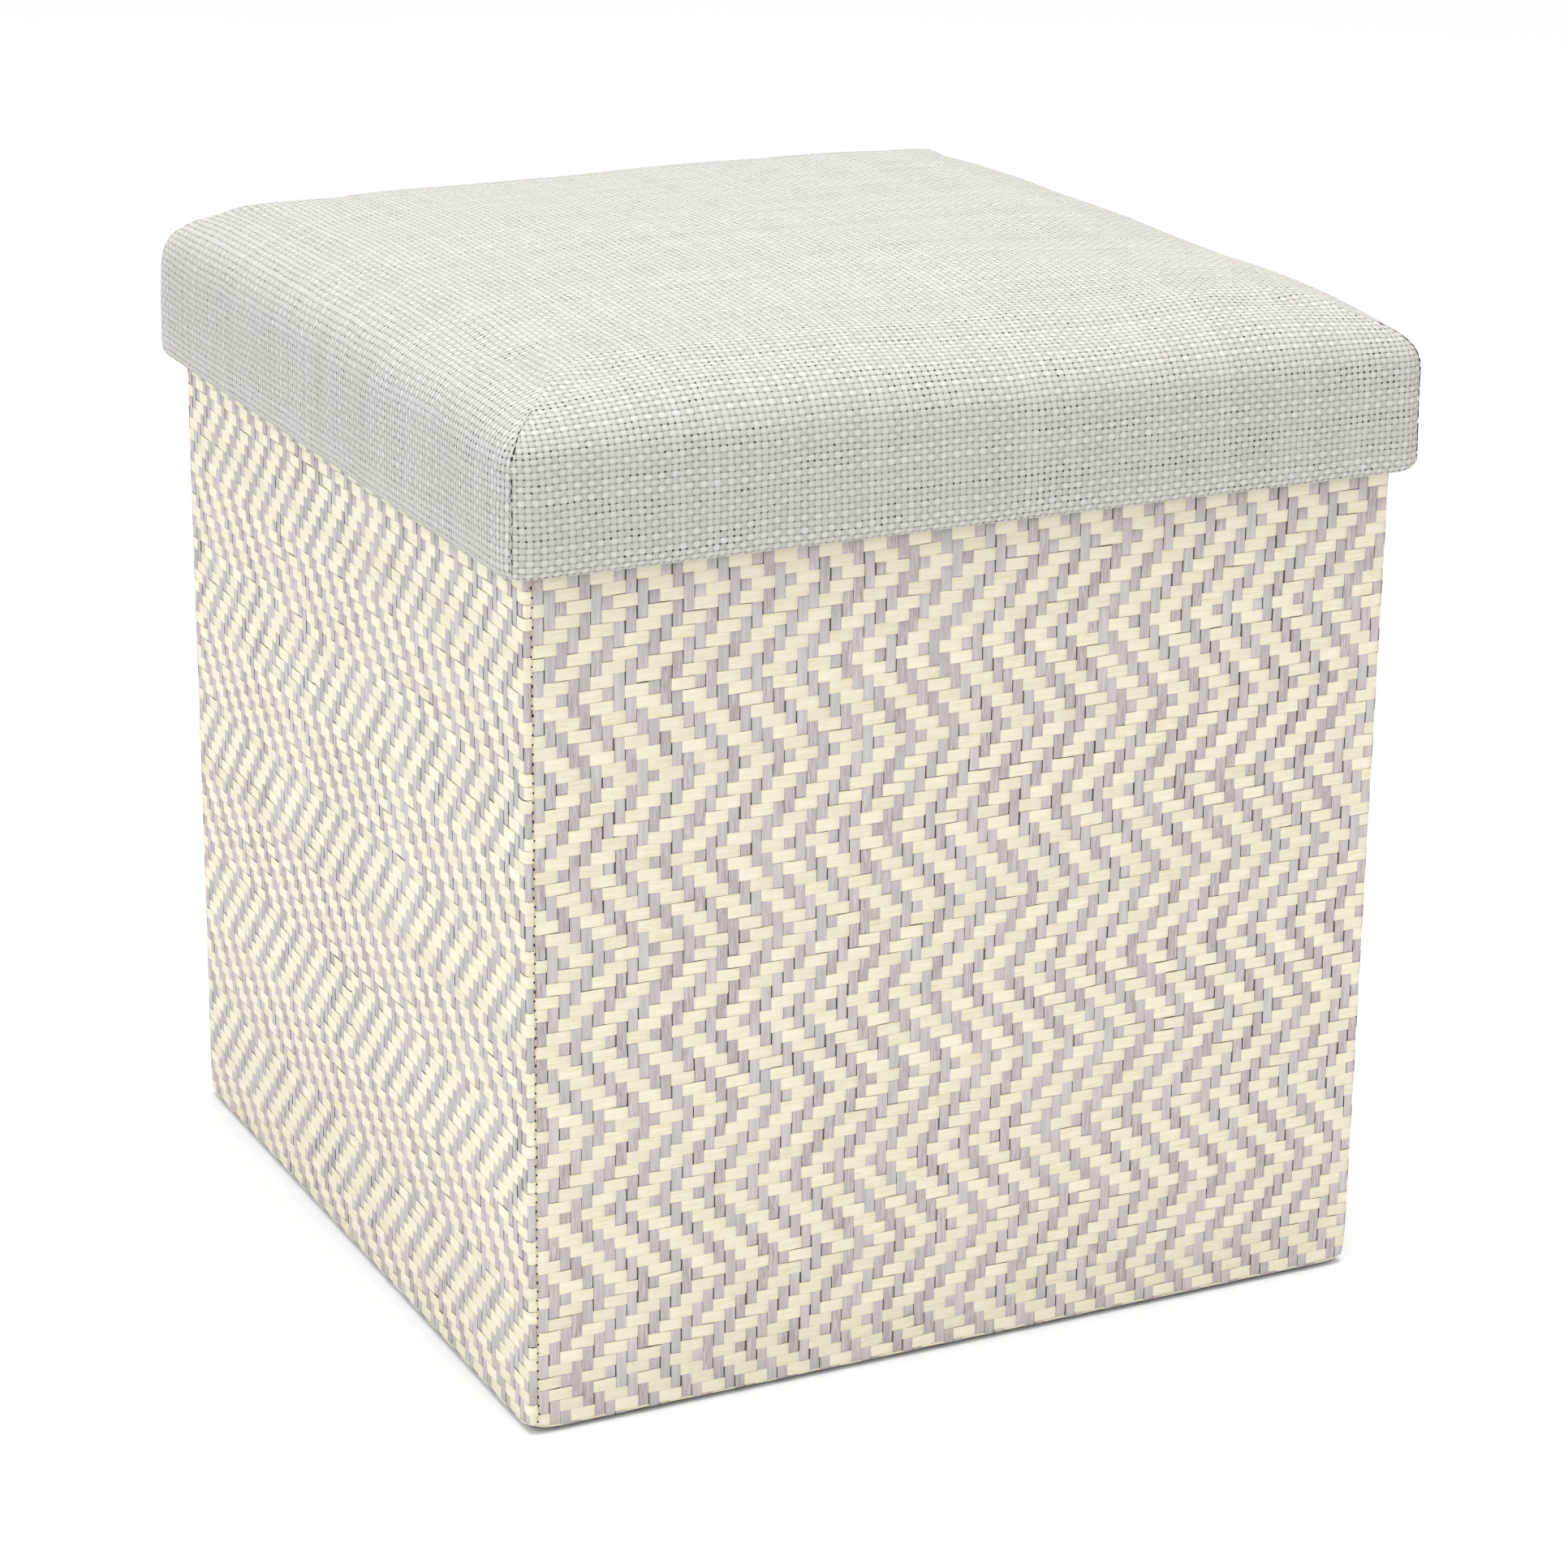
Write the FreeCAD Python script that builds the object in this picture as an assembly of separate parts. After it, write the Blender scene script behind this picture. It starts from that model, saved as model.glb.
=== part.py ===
"""Collapsible storage ottoman: a woven box with a lift-off padded lid.

Frame: +Z up, origin on the floor under the middle of the box. The front wall faces -Y.
The left and right walls each have an upright crease at mid depth and fold inwards, which lets
the front wall travel back against the back wall. Every wall is a board between an outer woven
skin and an inner lining. The lid is a padded tray that slips down over the walls.
"""
import FreeCAD, Part
import os
from FreeCAD import Vector

# Driving dimensions, millimetres
BOX = 380.0            # outer width and depth of the woven box
BASE_GAP = 0.3         # air between the bottom panel and the walls that fold over it
BOTTOM_INSET = 3.0     # bottom panel edge, inside the outer face of the walls
BOTTOM_CLOTH = 0.5
BOTTOM_BOARD = 1.6
BOTTOM_LINING = 0.5
WEAVE = 1.6            # two crossing layers of flat paper strip
WALL_BOARD = 4.0
WALL_LINING = 0.8
HEM = 1.0              # woven skin turned under the foot of each wall
BINDING = 0.8          # tape over the top edge of each wall
WALL_TOP = 397.0
FOLD_GAP = 0.3         # hinge line clearance, half the gap between two walls folded flat
CREASE_GAP = 1.0       # from the crease line to the end of each half wall

LID_BOTTOM = 352.0     # lower rim of the lid skirt
LID_CLEARANCE = 0.3    # wall top to lid lining
LID_LINING = 0.7
LID_BOARD = 5.0
SKIRT_GAP = 2.6        # air between the box and the skirt lining, each side
SKIRT_BOARD = 3.0
SKIRT_PADDING = 2.5
COVER = 1.2
COVER_CORNER_R = 8.0   # upright corners of the lid
COVER_TOP_R = 7.0      # roll from the skirt to the seat
SEAT_EDGE = 417.0      # height of the seat surface at its edge, before the crown
CROWN = 7.0            # rise of the seat from edge to middle

STITCH_LENGTH = 2.6
STITCH_PITCH = 3.8
STITCH_WIDTH = 0.5
STITCH_HEIGHT = 0.3
SEAM_INSET = 3.6       # corner seam, from the upright edge of the box
LID_SEAM_WIDTH = 0.8
LID_SEAM_HEIGHT = 0.5

# Worked out from the above
HALF = BOX / 2
WALL = WEAVE + WALL_BOARD + WALL_LINING
INNER = HALF - WALL
BOTTOM_TOP = BOTTOM_CLOTH + BOTTOM_BOARD + BOTTOM_LINING
WALL_FOOT = BOTTOM_TOP + BASE_GAP
BINDING_FOOT = WALL_TOP - BINDING
TRAY_UNDERSIDE = WALL_TOP + LID_CLEARANCE
LID_BOARD_FOOT = TRAY_UNDERSIDE + LID_LINING
LID_BOARD_TOP = LID_BOARD_FOOT + LID_BOARD
TRAY_INNER = HALF + SKIRT_GAP
TRAY_OUTER = TRAY_INNER + LID_LINING
SKIRT_OUTER = TRAY_OUTER + SKIRT_BOARD
PADDING_OUTER = SKIRT_OUTER + SKIRT_PADDING
LID_HALF = PADDING_OUTER + COVER
RIM_TOP = LID_BOTTOM + COVER


def slab(x, y, z):
    """A box from three (low, high) pairs."""
    return Part.makeBox(x[1] - x[0], y[1] - y[0], z[1] - z[0], Vector(x[0], y[0], z[0]))


def square_slab(half, z):
    """A square plate centred on the Z axis."""
    return slab((-half, half), (-half, half), z)


def write(name, shape):
    """One STEP file for one named piece."""
    if not shape.isValid():
        raise ValueError(f"{name} is not a valid shape")
    shape.exportStep(f"parts/{name}.step")


def turned(shape, degrees):
    """A copy turned about the Z axis."""
    copy = shape.copy()
    copy.rotate(Vector(0, 0, 0), Vector(0, 0, 1), degrees)
    return copy


def wall_pieces(span, end_returns):
    """Weave, board, lining and binding of a wall facing -Y that covers span along X.

    A wall with end returns has its woven skin carried round both upright edges of the board.
    """
    outer = -HALF
    board_face = outer + WEAVE
    lining_face = board_face + WALL_BOARD
    inner = -INNER
    height = (WALL_FOOT, BINDING_FOOT)
    above_hem = (WALL_FOOT + HEM, BINDING_FOOT)
    core = span
    weave = slab(span, (outer, board_face), height)
    weave = weave.fuse(slab(span, (board_face, inner), (WALL_FOOT, WALL_FOOT + HEM)))
    if end_returns:
        core = (span[0] + WEAVE, span[1] - WEAVE)
        for end in ((span[0], core[0]), (core[1], span[1])):
            weave = weave.fuse(slab(end, (board_face, inner), height))
    return {
        "weave": weave.removeSplitter(),
        "board": slab(core, (board_face, lining_face), above_hem),
        "lining": slab(core, (lining_face, inner), above_hem),
        "top_binding": slab(span, (outer, inner), (BINDING_FOOT, WALL_TOP)),
    }


def make_walls():
    """Front and back walls in one piece, left and right walls in two halves."""
    full = (-HALF, HALF)
    near_crease = CREASE_GAP
    near_corner = INNER - FOLD_GAP
    walls = {
        "front": (full, True, 0),
        "back": (full, True, 180),
        "left_front": ((near_crease, near_corner), False, -90),
        "left_rear": ((-near_corner, -near_crease), False, -90),
        "right_rear": ((near_crease, near_corner), False, 90),
        "right_front": ((-near_corner, -near_crease), False, 90),
    }
    for name, (span, end_returns, degrees) in walls.items():
        for layer, shape in wall_pieces(span, end_returns).items():
            write(f"{name}_{layer}", turned(shape, degrees))


def make_corner_stitching():
    """The lockstitch down the two upright seams that join the woven skin, at opposite corners."""
    count = int((LID_BOTTOM - WALL_FOOT) / STITCH_PITCH) - 1
    middle = SEAM_INSET - HALF
    stitches = []
    for i in range(count):
        foot = WALL_FOOT + STITCH_PITCH * (i + 0.5)
        stitches.append(slab((middle - STITCH_WIDTH / 2, middle + STITCH_WIDTH / 2),
                             (-HALF - STITCH_HEIGHT, -HALF), (foot, foot + STITCH_LENGTH)))
    seam = Part.makeCompound(stitches)
    write("front_left_corner_stitching", seam)
    write("back_right_corner_stitching", turned(seam, 180))


def make_bottom():
    """The flat bottom panel that the walls stand over: cloth, board and lining."""
    half = HALF - BOTTOM_INSET
    board_foot = BOTTOM_CLOTH
    board_top = board_foot + BOTTOM_BOARD
    write("bottom_cloth", square_slab(half, (0, board_foot)))
    write("bottom_board", square_slab(half, (board_foot, board_top)))
    write("bottom_lining", square_slab(half, (board_top, BOTTOM_TOP)))


def crowned_pad(half, foot, edge, corner_r, top_r, crown):
    """A square pad with rounded upright corners, a rolled top edge and a shallow spherical crown."""
    reach = half * 2 ** 0.5
    sphere_r = (reach ** 2 + crown ** 2) / (2 * crown)
    blank = square_slab(half, (foot, edge + 2 * crown))
    upright = [e for e in blank.Edges if abs(e.Vertexes[0].Z - e.Vertexes[1].Z) > crown]
    blank = blank.makeFillet(corner_r, upright)
    dome = Part.makeSphere(sphere_r, Vector(0, 0, edge + crown - sphere_r))
    pad = blank.common(dome)
    rim = [e for e in pad.Edges if e.BoundBox.ZMin > foot + 1 and e.BoundBox.ZLength < 2 * crown]
    return pad.makeFillet(top_r, rim)


def make_lid():
    """Padded lid: cover, foam, skirt padding, boards and the tray-shaped lining."""
    outer = crowned_pad(LID_HALF, LID_BOTTOM, SEAT_EDGE, COVER_CORNER_R, COVER_TOP_R, CROWN)
    core = crowned_pad(PADDING_OUTER, RIM_TOP, SEAT_EDGE - COVER,
                       COVER_CORNER_R - COVER, COVER_TOP_R - COVER, CROWN)
    mouth = square_slab(TRAY_INNER, (LID_BOTTOM, RIM_TOP))
    write("lid_cover", outer.cut(core).cut(mouth))

    above_board = square_slab(LID_HALF, (LID_BOARD_TOP, SEAT_EDGE + CROWN + COVER))
    write("lid_foam", core.common(above_board))
    beside_board = square_slab(LID_HALF, (RIM_TOP, LID_BOARD_TOP))
    inside = square_slab(SKIRT_OUTER, (RIM_TOP, LID_BOARD_TOP))
    write("lid_skirt_padding", core.common(beside_board).cut(inside))

    write("lid_board", square_slab(SKIRT_OUTER, (LID_BOARD_FOOT, LID_BOARD_TOP)))
    skirt_z = (RIM_TOP, LID_BOARD_FOOT)
    wide = slab((-SKIRT_OUTER, SKIRT_OUTER), (-SKIRT_OUTER, -TRAY_OUTER), skirt_z)
    short = slab((-TRAY_OUTER, TRAY_OUTER), (-SKIRT_OUTER, -TRAY_OUTER), skirt_z)
    write("lid_skirt_board_front", wide)
    write("lid_skirt_board_back", turned(wide, 180))
    write("lid_skirt_board_left", turned(short, -90))
    write("lid_skirt_board_right", turned(short, 90))

    tray = square_slab(TRAY_OUTER, (RIM_TOP, LID_BOARD_FOOT))
    hollow = square_slab(TRAY_INNER, (RIM_TOP, TRAY_UNDERSIDE))
    write("lid_lining", tray.cut(hollow))


def make_lid_corner_seams():
    """The sewn ridge up each rounded corner of the lid skirt."""
    apex = (LID_HALF - COVER_CORNER_R) * 2 ** 0.5 + COVER_CORNER_R
    ridge = slab((apex, apex + LID_SEAM_HEIGHT), (-LID_SEAM_WIDTH / 2, LID_SEAM_WIDTH / 2),
                 (RIM_TOP + COVER, SEAT_EDGE - COVER_TOP_R - COVER))
    seams = [turned(ridge, 45 + 90 * i) for i in range(4)]
    write("lid_corner_seams", Part.makeCompound(seams))


os.makedirs("parts", exist_ok=True)
make_walls()
make_corner_stitching()
make_bottom()
make_lid()
make_lid_corner_seams()
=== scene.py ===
"""Looks of the collapsible storage ottoman: a box woven of paper strip under a padded lift-off lid."""
import math

import bpy
import numpy as np
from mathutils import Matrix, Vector


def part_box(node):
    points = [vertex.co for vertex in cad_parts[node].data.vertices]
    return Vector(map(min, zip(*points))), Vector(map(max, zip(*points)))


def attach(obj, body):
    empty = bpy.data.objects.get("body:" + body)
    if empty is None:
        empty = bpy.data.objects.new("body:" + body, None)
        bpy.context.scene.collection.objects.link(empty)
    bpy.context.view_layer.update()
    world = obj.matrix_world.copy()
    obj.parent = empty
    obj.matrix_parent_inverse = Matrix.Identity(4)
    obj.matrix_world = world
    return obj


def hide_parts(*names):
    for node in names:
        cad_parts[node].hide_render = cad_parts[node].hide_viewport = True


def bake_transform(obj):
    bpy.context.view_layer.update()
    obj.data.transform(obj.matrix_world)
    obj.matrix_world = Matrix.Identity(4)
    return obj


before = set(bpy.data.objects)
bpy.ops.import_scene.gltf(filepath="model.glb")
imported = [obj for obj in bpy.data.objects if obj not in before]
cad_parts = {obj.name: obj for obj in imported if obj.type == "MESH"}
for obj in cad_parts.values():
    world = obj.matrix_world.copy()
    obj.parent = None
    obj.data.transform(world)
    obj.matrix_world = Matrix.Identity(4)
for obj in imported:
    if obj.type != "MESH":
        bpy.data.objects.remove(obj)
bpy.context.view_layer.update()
MM = 0.001

# ------------------------------------------------------------------ sizes, from the frame, millimetres
weave_low, weave_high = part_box("front_weave")
HALF = -weave_low.x / MM
FOOT = weave_low.z / MM
TOP = weave_high.z / MM
SIDE = 2 * HALF
INNER = -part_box("front_lining")[1].y / MM
BINDING_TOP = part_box("front_top_binding")[1].z / MM
lid_low, lid_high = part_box("lid_cover")
LID_HALF = -lid_low.x / MM
RIM = lid_low.z / MM
TRAY_OUTER = -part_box("lid_lining")[0].x / MM
TRAY_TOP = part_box("lid_board")[0].z / MM
SKIRT_OUTER = -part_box("lid_skirt_board_front")[0].y / MM
BOTTOM_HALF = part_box("bottom_cloth")[1].x / MM


# ------------------------------------------------------------------ meshes
def new_object(name, mesh):
    obj = bpy.data.objects.new(name, mesh)
    bpy.context.scene.collection.objects.link(obj)
    return obj


def quad_object(name, points, faces):
    """A smooth mesh of quads, from points in mm and four point numbers to a face."""
    mesh = bpy.data.meshes.new(name)
    mesh.vertices.add(len(points))
    mesh.vertices.foreach_set("co", (points * MM).astype(np.float32).ravel())
    mesh.loops.add(faces.size)
    mesh.loops.foreach_set("vertex_index", faces.astype(np.int32).ravel())
    mesh.polygons.add(len(faces))
    mesh.polygons.foreach_set("loop_start", (np.arange(len(faces)) * 4).astype(np.int32))
    mesh.polygons.foreach_set("use_smooth", np.ones(len(faces), bool))
    mesh.update(calc_edges=True)
    return new_object(name, mesh)


def grid_faces(index):
    """The quads of grids of point numbers. A face looks along the next to last axis x the last."""
    corners = [index[..., :-1, :-1], index[..., 1:, :-1], index[..., 1:, 1:], index[..., :-1, 1:]]
    return np.stack(corners, -1).reshape(-1, 4)


def grid_object(name, xyz, attributes=None):
    """A mesh of separate grids of one size. xyz is [grid, first, second, 3] in mm."""
    index = np.arange(xyz[..., 0].size).reshape(xyz.shape[:3])
    obj = quad_object(name, xyz.reshape(-1, 3), grid_faces(index))
    for key, value in (attributes or {}).items():
        layer = obj.data.attributes.new(key, "FLOAT", "POINT")
        layer.data.foreach_set("value", np.broadcast_to(value, index.shape).astype(np.float32).ravel())
    return obj


def patches_object(name, patches):
    """One mesh from several open grids, each [first, second, 3] in mm."""
    points, faces, start = [], [], 0
    for patch in patches:
        index = np.arange(patch[..., 0].size).reshape(patch.shape[:2]) + start
        faces.append(grid_faces(index))
        points.append(patch.reshape(-1, 3))
        start += index.size
    return quad_object(name, np.concatenate(points), np.concatenate(faces))


def coordinates(mesh):
    """The points of a mesh in mm."""
    flat = np.empty(len(mesh.vertices) * 3, np.float32)
    mesh.vertices.foreach_get("co", flat)
    return flat.reshape(-1, 3).astype(float) / MM


def thicken(obj, amount):
    """Cloth thickness in mm, on the side away from the faces' fronts."""
    solid = obj.modifiers.new("thickness", "SOLIDIFY")
    solid.thickness = amount * MM
    solid.offset = -1.0
    return obj


def to_side(side, x, y, z):
    """Points given for the front wall, turned by quarter turns to a side of the box."""
    a = side * math.pi / 2
    return np.stack([x * np.cos(a) - y * np.sin(a), x * np.sin(a) + y * np.cos(a), z], -1)


def dress(obj, mat, slot, body, *nodes):
    """Material, finish slot (not used), body to ride on and CAD nodes stood for. Without a body it is not
    attached.
    """
    obj.data.materials.append(mat)
    if body:
        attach(obj, body)
    if nodes:
        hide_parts(*nodes)
    return obj


def spline_weights(t):
    """The four weights of a uniform cubic B-spline."""
    second = (3 * t ** 3 - 6 * t ** 2 + 4) / 6
    third = (-3 * t ** 3 + 3 * t ** 2 + 3 * t + 1) / 6
    return (1 - t) ** 3 / 6, second, third, t ** 3 / 6


def smooth_field(seed, step_u, step_v):
    """A seeded smooth random surface over (u, v), about -1 to 1, that wanders over each step."""
    size = 90
    knots = np.random.default_rng(seed).standard_normal((size, size))

    def at(u, v):
        u, v = np.broadcast_arrays(np.asarray(u, float) / step_u + 8, np.asarray(v, float) / step_v + 8)
        iu, iv = np.floor(u).astype(int), np.floor(v).astype(int)
        total = 0
        for a, wu in enumerate(spline_weights(u - iu)):
            for b, wv in enumerate(spline_weights(v - iv)):
                total = total + wu * wv * knots[(iu + a) % size, (iv + b) % size]
        return total * 1.5
    return at


# ------------------------------------------------------------------ shader nodes
class Graph:
    """A material and short ways to add nodes to it."""

    def __init__(self, name):
        self.material = bpy.data.materials.new(name)
        self.material.use_nodes = True
        self.tree = self.material.node_tree
        self.shader = self.tree.nodes["Principled BSDF"]

    def add(self, kind, inputs=(), **properties):
        made = self.tree.nodes.new(kind)
        for key, value in properties.items():
            setattr(made, key, value)
        for key, value in dict(inputs).items():
            self.put(made.inputs[key], value)
        return made

    def put(self, socket, value):
        if isinstance(value, bpy.types.NodeSocket):
            self.tree.links.new(value, socket)
        else:
            socket.default_value = value

    def math(self, operation, a, b=0.0, c=0.0):
        return self.add("ShaderNodeMath", {0: a, 1: b, 2: c}, operation=operation).outputs[0]

    def plus(self, a, b):
        return self.math("ADD", a, b)

    def minus(self, a, b):
        return self.math("SUBTRACT", a, b)

    def times(self, a, b):
        return self.math("MULTIPLY", a, b)

    def attribute(self, name):
        return self.add("ShaderNodeAttribute", attribute_name=name).outputs["Fac"]

    def vector(self, x=0.0, y=0.0, z=0.0):
        return self.add("ShaderNodeCombineXYZ", {0: x, 1: y, 2: z}).outputs[0]

    def noise(self, where, scale, detail=3.0, rough=0.55):
        inputs = {"Vector": where, "Scale": scale, "Detail": detail, "Roughness": rough}
        return self.add("ShaderNodeTexNoise", inputs).outputs[0]

    def random(self, value):
        inputs = {"W": value}
        return self.add("ShaderNodeTexWhiteNoise", inputs, noise_dimensions="1D").outputs[0]

    def ramp(self, value, *stops):
        """Grey levels or colours at places along a value."""
        made = self.add("ShaderNodeValToRGB", {0: value})
        band = made.color_ramp
        while len(band.elements) < len(stops):
            band.elements.new(0.5)
        for element, (place, colour) in zip(band.elements, stops):
            element.position = place
            colour = colour if hasattr(colour, "__len__") else (colour,) * 3
            element.color = (*colour, 1)
        return made.outputs[0]

    def mix(self, factor, a, b, blend="MIX"):
        made = self.add("ShaderNodeMix", data_type="RGBA", blend_type=blend)
        self.put(made.inputs[0], factor)
        for socket, value in ((made.inputs[6], a), (made.inputs[7], b)):
            self.put(socket, (*value, 1) if isinstance(value, tuple) and len(value) == 3 else value)
        return made.outputs[2]

    def mix_value(self, factor, a, b):
        made = self.add("ShaderNodeMix", data_type="FLOAT")
        for socket, value in zip(made.inputs[:4], (factor, None, a, b)):
            if value is not None:
                self.put(socket, value)
        return made.outputs[0]

    def bump(self, height, distance, strength=1.0, under=None):
        inputs = {"Height": height, "Distance": distance, "Strength": strength}
        if under is not None:
            inputs["Normal"] = under
        return self.add("ShaderNodeBump", inputs).outputs[0]

    def finish(self, colour, rough, normal=None, specular=0.3):
        self.put(self.shader.inputs["Base Color"], colour)
        self.put(self.shader.inputs["Roughness"], rough)
        self.shader.inputs["Specular IOR Level"].default_value = specular
        if normal is not None:
            self.put(self.shader.inputs["Normal"], normal)
        return self.material


def srgb(*levels):
    """Linear colour from 0..255 display levels, none of them near black."""
    return tuple((((v / 255) + 0.055) / 1.055) ** 2.4 for v in levels)


def strip_material(name, light, dark, mark, marks, strength):
    """Flat paper strip: lengthwise fibre lines, strip to strip colour, darker edges, and painted shade on the
    parts that run under the crossing strips.

    marks is how common the streaks of the mark colour are, strength how plain they show.
    """
    g = Graph(name)
    along, across, strip = g.attribute("along"), g.attribute("across"), g.attribute("strip")
    shift = g.times(strip, 57.0)

    def stretched(lengthwise, crosswise, detail, rough=0.55):
        """Noise drawn out along the strip, from its frequencies along (to a metre) and across it."""
        where = g.vector(g.times(along, lengthwise), g.times(across, crosswise), shift)
        return g.noise(where, 1.0, detail, rough)

    broad = stretched(38.0, 1.7, 3.0)
    fine = stretched(130.0, 9.0, 4.0, 0.7)
    grain = stretched(900.0, 5.0, 2.0)
    colour = g.mix(g.ramp(broad, (0.34, 0.0), (0.66, 1.0)), dark, light)
    tone = g.ramp(g.math("FRACT", g.times(strip, 13.7)), (0.0, 0.90), (0.5, 0.97), (1.0, 1.0))
    colour = g.mix(1.0, colour, tone, "MULTIPLY")
    streak = g.ramp(fine, (0.5 - marks, 1.0), (0.5 - marks + 0.09, 0.0))
    patchy = g.noise(g.vector(g.times(along, 14.0), shift, 4.0), 1.0, 2.0)
    patch = g.ramp(patchy, (0.42, 0.15), (0.6, 1.0))
    colour = g.mix(g.times(g.times(streak, patch), strength), colour, mark)
    colour = g.mix(g.times(g.ramp(grain, (0.35, 0.0), (0.75, 1.0)), 0.10), colour, mark)
    edge = g.math("POWER", g.math("ABSOLUTE", across), 7.0)
    colour = g.mix(g.times(edge, 0.30), colour, mark)
    # painted shade: the parts of a strip that run under the crossing strips are darkened, the lower the
    # darker
    raised = g.math("MULTIPLY_ADD", g.attribute("lift"), 0.5, 0.5)
    painted_under_shade = g.ramp(raised, (0.05, 0.24), (0.55, 1.0))
    colour = g.mix(1.0, colour, painted_under_shade, "MULTIPLY")
    height = g.plus(g.times(fine, 0.7), g.times(grain, 0.3))
    rough = g.plus(0.58, g.times(fine, 0.2))
    return g.finish(colour, rough, g.bump(height, 0.00012, 0.6), 0.28)


CREAM_TONES = srgb(228, 223, 204), srgb(223, 215, 191), srgb(204, 185, 143)
GREY_TONES = srgb(201, 194, 192), srgb(187, 180, 177), srgb(138, 128, 124)
CREAM = strip_material("paper_cream", *CREAM_TONES, 0.10, 0.7)
GREY = strip_material("paper_grey", *GREY_TONES, 0.05, 0.75)


def cloth_material(name, colour, scale, depth=0.00015):
    """Plain fine cloth or non-woven felt in object space."""
    g = Graph(name)
    where = g.add("ShaderNodeTexCoord").outputs["Object"]
    fine = g.noise(where, scale, 3.0, 0.6)
    broad = g.noise(where, 18.0, 3.0)
    dark = tuple(v * 0.8 for v in colour)
    shade = g.mix(g.ramp(fine, (0.3, 0.0), (0.7, 1.0)), dark, colour)
    shade = g.mix(g.times(broad, 0.25), shade, dark)
    return g.finish(shade, 0.85, g.bump(fine, depth, 0.8), 0.2)


def board_material():
    """Grey millboard: pressed fibre flecks."""
    g = Graph("millboard")
    where = g.add("ShaderNodeTexCoord").outputs["Object"]
    fleck = g.noise(where, 420.0, 4.0, 0.65)
    broad = g.noise(where, 25.0, 3.0)
    shade = g.mix(g.ramp(fleck, (0.35, 0.0), (0.65, 1.0)), srgb(128, 112, 92), srgb(168, 152, 130))
    shade = g.mix(g.times(broad, 0.3), shade, srgb(120, 104, 86))
    return g.finish(shade, g.plus(0.75, g.times(fleck, 0.15)), g.bump(fleck, 0.0002, 0.5), 0.25)


# painted shade: the backing is coloured dark so that the slits between the strips read as shade
BACKING_SHADE = cloth_material("weave_backing_shade", srgb(76, 64, 56), 900.0)
LINING = cloth_material("lining_felt", srgb(214, 208, 198), 1100.0)
BINDING = cloth_material("binding_tape", srgb(206, 196, 178), 1800.0)
BOTTOM = cloth_material("bottom_cloth", srgb(122, 117, 114), 1300.0)
THREAD = cloth_material("thread", srgb(222, 200, 158), 4000.0, 0.0001)
LID_THREAD = cloth_material("lid_thread", srgb(186, 180, 173), 4000.0, 0.0001)
# painted shade: needle holes and pulled slits are near black for the dark inside them
HOLE = cloth_material("needle_hole", srgb(34, 28, 26), 2500.0)
BOARD = board_material()
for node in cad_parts.values():
    node.data.materials.clear()
    node.data.materials.append(BOARD)


# ------------------------------------------------------------------ the woven box
# Places on it are s, round the box from the front left edge, and w, up the wall and on round the hem.
COLUMN = SIDE / 80            # pitch of the upright strips
ROW = 5.03                    # pitch of the level strips
ROW_FOOT = FOOT + 0.5
TWILL_TURN = 7                # rows from one point of the zigzag to the next
UPRIGHT_FILL = 0.93, 0.05     # a strip's width as a share of its pitch, and how far that wanders
LEVEL_FILL = 1.005, 0.025
UPRIGHT_REACH = 0.03, 0.12    # where in a cell a strip is up, and where it is down
LEVEL_REACH = -0.04, 0.17
EDGE_DROP = 0.10              # how much lower a strip's edges lie than its middle
MIDDLE = -0.34                # mid-height of the weave, from the outer face
OVER = 0.36                   # how far a strip rises or dips from it
BACKING_DEPTH = -1.02
SEAM = 3.6                    # corner seams, from the upright edge
SEAM_DEPTH, SEAM_WIDTH = 0.42, 1.3
CREASES = (1.5 * SIDE, 3.5 * SIDE)
CREASE_DEPTH, CREASE_WIDTH = 0.50, 2.0
CORNER_R = 2.5
HEM_DROP = 1.35               # how far the hem hangs below the wall
HEM_R = 1.3
HEM_TUCK = 1.3
HEM_TURN = FOOT - HEM_DROP + HEM_R
HEM_END = HEM_TURN - HEM_R * math.pi / 2 - HEM_TUCK
HEM_CORNER = 6.5              # reach of the softened bottom corners
HEM_CORNER_RISE, HEM_CORNER_TUCK = 2.4, 1.5
BINDING_REACH = 9.0           # how far the top binding comes down the wall
BULGE = 0.12                  # unevenness of the walls
RUN = 2 * SIDE                # one of the two woven lengths: front and right, or back and left
STRIPS = int(round(RUN / COLUMN))
FIELD_STEP = 5                # mm to a unit along a strip in the fields below

drift = smooth_field(1, 14.0, 16.0)
jitter = smooth_field(2, 1.0, 9.0)
sway = smooth_field(3, 60.0, 9.0)
row_jitter = smooth_field(4, 42.0, 1.0)
swell = smooth_field(5, 95.0, 80.0)
width_noise = smooth_field(6, 1.0, 6.0)
twist = smooth_field(7, 7.0, 0.8)


def column_place(run, k, w):
    """Place along the wall of column boundary k of a run, at height w. Creases fall on a boundary."""
    crease = CREASES[run] - run * RUN
    k_crease = round((crease - SEAM) / COLUMN)
    slip = crease - SEAM - k_crease * COLUMN
    near = np.clip(1 - np.abs(k - k_crease) / 30, 0, 1)
    place = SEAM + COLUMN * k + slip * near ** 2 * (3 - 2 * near)
    from_end = np.minimum(k, STRIPS - k)
    loose = np.clip(np.minimum(from_end, np.abs(k - k_crease)) / 4, 0, 1)
    up = w / FIELD_STEP
    wander = 0.34 * drift(k + 200 * run, up) + 0.16 * jitter(k + 31 * run, up)
    return run * RUN + place + loose * wander


def row_place(s, j):
    """Height of row boundary j at place s."""
    loose = np.clip(j / 4, 0.25, 1)
    return ROW_FOOT + ROW * j + loose * (0.42 * sway(s, j) + 0.14 * row_jitter(s, j))


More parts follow.
